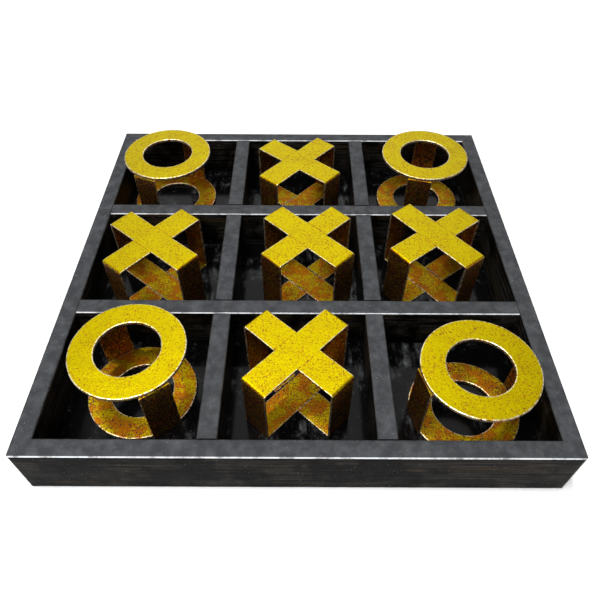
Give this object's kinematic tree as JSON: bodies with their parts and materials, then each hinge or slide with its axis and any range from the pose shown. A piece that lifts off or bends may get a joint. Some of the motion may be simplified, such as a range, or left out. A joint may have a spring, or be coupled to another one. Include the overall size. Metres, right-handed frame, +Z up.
{
  "type": "tic tac toe set",
  "caption": "Square dark wooden tray divided into a grid of cells, with loose gold metal X pieces folded from crossed straps and O pieces made of paired rings on legs.",
  "frame": {"origin": "centre of the tray's underside, on the surface it stands on", "axes": "+Z up, -Y towards the front of the tray, +X to the right"},
  "size_m": [0.305, 0.305, 0.053],
  "materials": {
    "painted_wood": "satin charcoal paint on wood, with scuffs and faint grain",
    "painted_floor": "glossier black paint on the floor of the cells",
    "bare_wood": "bare birch",
    "screw_steel": "zinc plated",
    "antique_gold": "satin antique gold on steel, speckled brown, worn pale at the edges"
  },
  "bodies": {
    "tray": {"base_board": "painted_floor", "front_rail": "painted_wood", "back_rail": "painted_wood", "left_rail": "painted_wood", "right_rail": "painted_wood", "front_cross_divider": "painted_wood", "back_cross_divider": "painted_wood", "left_long_divider": "painted_wood", "right_long_divider": "painted_wood", "corner_dowels": "bare_wood", "base_screws": "screw_steel"},
    "x_center": {"x_center_loop": "antique_gold", "x_center_left_bracket": "antique_gold", "x_center_right_bracket": "antique_gold"},
    "x_front": {"x_front_loop": "antique_gold", "x_front_left_bracket": "antique_gold", "x_front_right_bracket": "antique_gold"},
    "x_back": {"x_back_loop": "antique_gold", "x_back_left_bracket": "antique_gold", "x_back_right_bracket": "antique_gold"},
    "x_left": {"x_left_loop": "antique_gold", "x_left_left_bracket": "antique_gold", "x_left_right_bracket": "antique_gold"},
    "x_right": {"x_right_loop": "antique_gold", "x_right_left_bracket": "antique_gold", "x_right_right_bracket": "antique_gold"},
    "o_front_left": {"o_front_left_top_ring": "antique_gold", "o_front_left_bottom_ring": "antique_gold", "o_front_left_near_leg": "antique_gold", "o_front_left_far_leg": "antique_gold"},
    "o_front_right": {"o_front_right_top_ring": "antique_gold", "o_front_right_bottom_ring": "antique_gold", "o_front_right_near_leg": "antique_gold", "o_front_right_far_leg": "antique_gold"},
    "o_back_left": {"o_back_left_top_ring": "antique_gold", "o_back_left_bottom_ring": "antique_gold", "o_back_left_near_leg": "antique_gold", "o_back_left_far_leg": "antique_gold"},
    "o_back_right": {"o_back_right_top_ring": "antique_gold", "o_back_right_bottom_ring": "antique_gold", "o_back_right_near_leg": "antique_gold", "o_back_right_far_leg": "antique_gold"}
  },
  "joints": [
    {"name": "lift_x_center", "type": "slide", "parent": "tray", "child": "x_center", "axis": [0, 0, 1], "range_m": [0, 0.06]},
    {"name": "lift_x_front", "type": "slide", "parent": "tray", "child": "x_front", "axis": [0, 0, 1], "range_m": [0, 0.06]},
    {"name": "lift_x_back", "type": "slide", "parent": "tray", "child": "x_back", "axis": [0, 0, 1], "range_m": [0, 0.06]},
    {"name": "lift_x_left", "type": "slide", "parent": "tray", "child": "x_left", "axis": [0, 0, 1], "range_m": [0, 0.06]},
    {"name": "lift_x_right", "type": "slide", "parent": "tray", "child": "x_right", "axis": [0, 0, 1], "range_m": [0, 0.06]},
    {"name": "lift_o_front_left", "type": "slide", "parent": "tray", "child": "o_front_left", "axis": [0, 0, 1], "range_m": [0, 0.06]},
    {"name": "lift_o_front_right", "type": "slide", "parent": "tray", "child": "o_front_right", "axis": [0, 0, 1], "range_m": [0, 0.06]},
    {"name": "lift_o_back_left", "type": "slide", "parent": "tray", "child": "o_back_left", "axis": [0, 0, 1], "range_m": [0, 0.06]},
    {"name": "lift_o_back_right", "type": "slide", "parent": "tray", "child": "o_back_right", "axis": [0, 0, 1], "range_m": [0, 0.06]}
  ]
}
